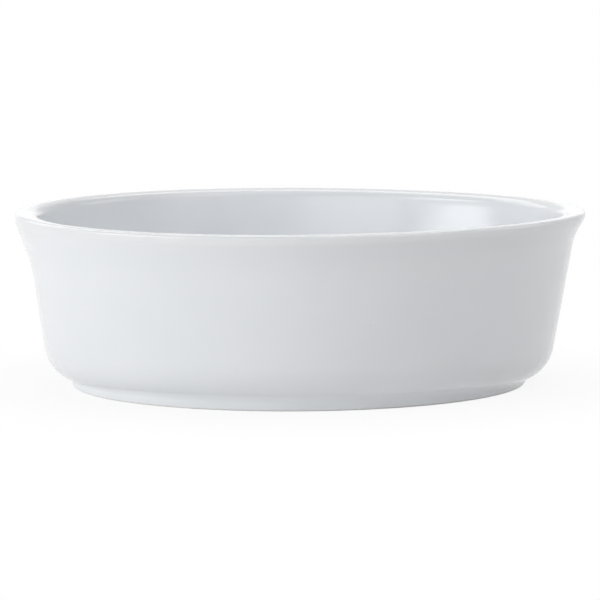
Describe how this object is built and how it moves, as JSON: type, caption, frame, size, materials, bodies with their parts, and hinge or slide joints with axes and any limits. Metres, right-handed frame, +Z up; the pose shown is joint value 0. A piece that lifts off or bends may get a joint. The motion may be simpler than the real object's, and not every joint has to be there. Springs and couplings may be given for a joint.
{
  "type": "oval pie dish",
  "caption": "Oval pie dish in white glazed porcelain: leaning wall, flared rounded rim, deep well with a rounded floor edge for baking a pie, and a low bare foot ring to stand on.",
  "frame": {"origin": "on the table, in the middle of the foot ring's standing face", "axes": "+X along the long way of the oval, +Y across it, +Z up out of the well"},
  "size_m": [0.18, 0.144, 0.055],
  "materials": {
    "bare_porcelain": "matte",
    "white_glaze": "gloss"
  },
  "bodies": {
    "root": {"porcelain_body": "bare_porcelain", "glaze_coat": "white_glaze", "base_glaze": "white_glaze"}
  },
  "joints": []
}
